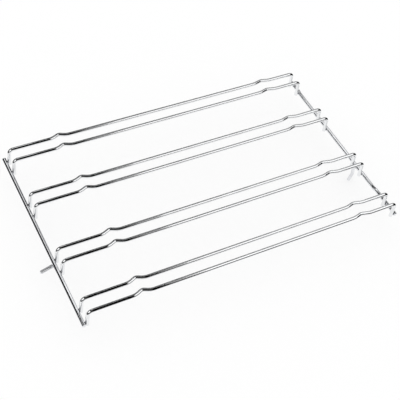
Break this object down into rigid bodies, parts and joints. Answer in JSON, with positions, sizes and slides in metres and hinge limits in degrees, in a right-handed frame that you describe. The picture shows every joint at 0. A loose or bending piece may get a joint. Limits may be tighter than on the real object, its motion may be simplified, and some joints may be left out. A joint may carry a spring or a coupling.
{
  "type": "oven shelf runner",
  "caption": "Welded wire side rack for an oven: paired runner wires with stop humps stand off from crossbars to guide the shelves, and short kinked pins fix it to the cavity walls.",
  "frame": {"origin": "under the middle of the rack's outline, at its lowest point (the tip of the front pin)", "axes": "+X from the rear of the oven to the front along the runners, +Y from the lowest shelf level to the highest, +Z from the oven's side wall towards the shelves; the rack lies on its back"},
  "size_m": [0.43, 0.2558, 0.0479],
  "materials": {
    "chrome_wire": "bright plated round steel wire"
  },
  "bodies": {
    "root": {"crossbar_rear": "chrome_wire", "crossbar_front": "chrome_wire", "runner_1_lower": "chrome_wire", "runner_1_upper": "chrome_wire", "runner_2_lower": "chrome_wire", "runner_2_upper": "chrome_wire", "runner_3_lower": "chrome_wire", "runner_3_upper": "chrome_wire", "runner_4_lower": "chrome_wire", "runner_4_upper": "chrome_wire", "pin_rear": "chrome_wire", "pin_front": "chrome_wire"}
  },
  "joints": []
}
